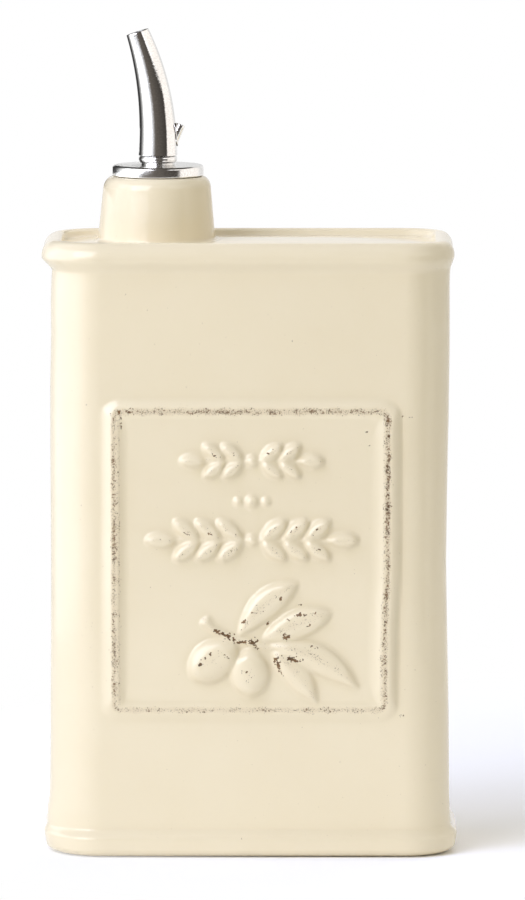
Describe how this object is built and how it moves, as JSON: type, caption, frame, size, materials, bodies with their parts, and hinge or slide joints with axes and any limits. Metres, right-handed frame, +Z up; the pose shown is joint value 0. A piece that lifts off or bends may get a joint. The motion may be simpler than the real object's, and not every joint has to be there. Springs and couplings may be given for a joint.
{
  "type": "ceramic oil jar",
  "caption": "Glazed ceramic oil jar shaped like a small oil tin, with rolled rims, a framed relief panel and a lift-out steel pourer that turns in a rubber bung.",
  "frame": {"origin": "middle of the foot, on the surface that the jar stands on", "axes": "+Z up, -Y out of the framed panel at the front, -X towards the side where the neck stands"},
  "size_m": [0.1322, 0.0662, 0.2614],
  "materials": {
    "cream_glaze": "warm cream gloss glaze, worn brown along the relief",
    "polished_steel": "polished stainless steel",
    "bung_rubber": "matt black rubber"
  },
  "bodies": {
    "jar": {"jar_body": "cream_glaze"},
    "stopper": {"stopper_bung": "bung_rubber"},
    "pourer": {"flange_cap": "polished_steel", "tail_tube": "polished_steel", "pour_spout": "polished_steel", "breather_tube": "polished_steel"}
  },
  "joints": [
    {"name": "pourer_lift", "type": "slide", "parent": "jar", "child": "stopper", "axis": [0, 0, 1], "range_m": [0, 0.08]},
    {"name": "spout_turn", "type": "hinge", "parent": "stopper", "child": "pourer", "pos_m": [-0.0289, 0, 0.2155], "axis": [0, 0, 1], "continuous": true}
  ]
}
